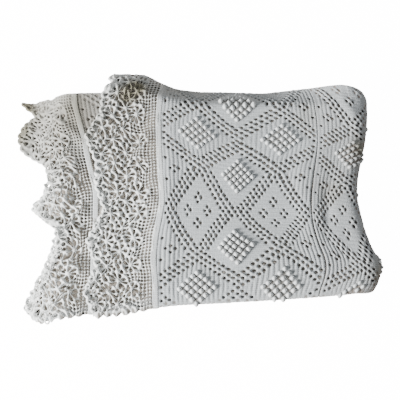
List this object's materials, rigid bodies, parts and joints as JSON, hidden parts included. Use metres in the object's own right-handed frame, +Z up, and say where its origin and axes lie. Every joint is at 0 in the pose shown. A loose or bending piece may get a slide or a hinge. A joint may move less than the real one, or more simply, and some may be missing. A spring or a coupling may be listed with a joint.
{
  "type": "folded crochet bedspread",
  "caption": "White cotton crochet bedspread folded into a thick rectangular bundle, with squares of raised bobbles and eyelets and a zigzag lace border at each end.",
  "frame": {"origin": "middle of the bundle's box, on the surface that it lies on", "axes": "+X from the lace borders to the closed folds, +Y away from the near folds, +Z up"},
  "size_m": [0.633, 0.4552, 0.0781],
  "materials": {
    "ground": "matt mercerised cotton yarn, dense ribbed crochet with raised bobbles and eyelets",
    "heading": "matt cotton yarn, plain close crochet",
    "lace": "matt cotton yarn, open lace of spoked wheels and square mesh, yellowed at the edges"
  },
  "bodies": {
    "root": {"ground_strip_1": "ground", "ground_strip_2": "ground", "ground_strip_3": "ground", "ground_strip_4": "ground", "ground_strip_5": "ground", "ground_strip_6": "ground", "ground_strip_7": "ground", "heading_upper": "heading", "heading_lower": "heading", "lace_border_upper": "lace", "lace_border_lower": "lace"}
  },
  "joints": []
}
